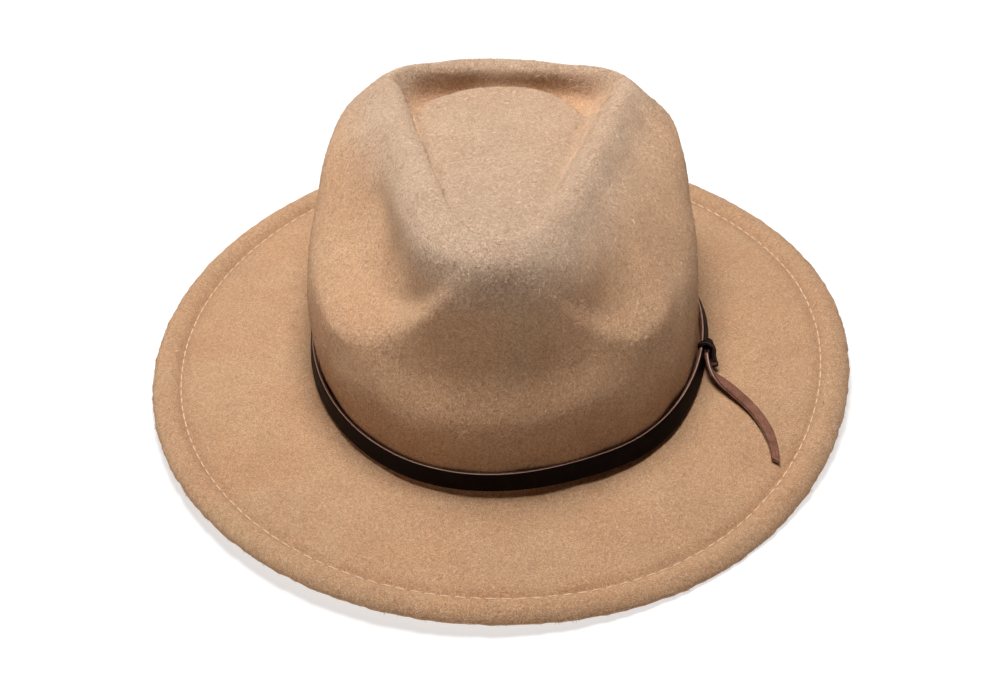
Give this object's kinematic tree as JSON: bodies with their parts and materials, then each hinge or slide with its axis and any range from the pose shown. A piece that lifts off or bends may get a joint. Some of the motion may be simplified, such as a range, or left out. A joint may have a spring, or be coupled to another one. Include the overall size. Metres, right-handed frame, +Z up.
{
  "type": "wide-brim fedora hat",
  "caption": "Wide-brim felt fedora with a pinched teardrop crown, a stitched brim edge and a dark leather lace band tied in a knot at the side.",
  "frame": {"origin": "on the resting surface, under the middle of the brim", "axes": "+Z up, -Y to the front of the hat, +X to the wearer's left side, where the knot is"},
  "size_m": [0.311, 0.348, 0.1079],
  "materials": {
    "felt": "matte, short nap",
    "leather": "smooth, near black, soft gloss",
    "suede": "matte flesh side of the lace"
  },
  "bodies": {
    "root": {"felt_crown_and_brim": "felt", "hat_band": "leather", "band_knot": "leather", "long_tail": "suede"}
  },
  "joints": []
}
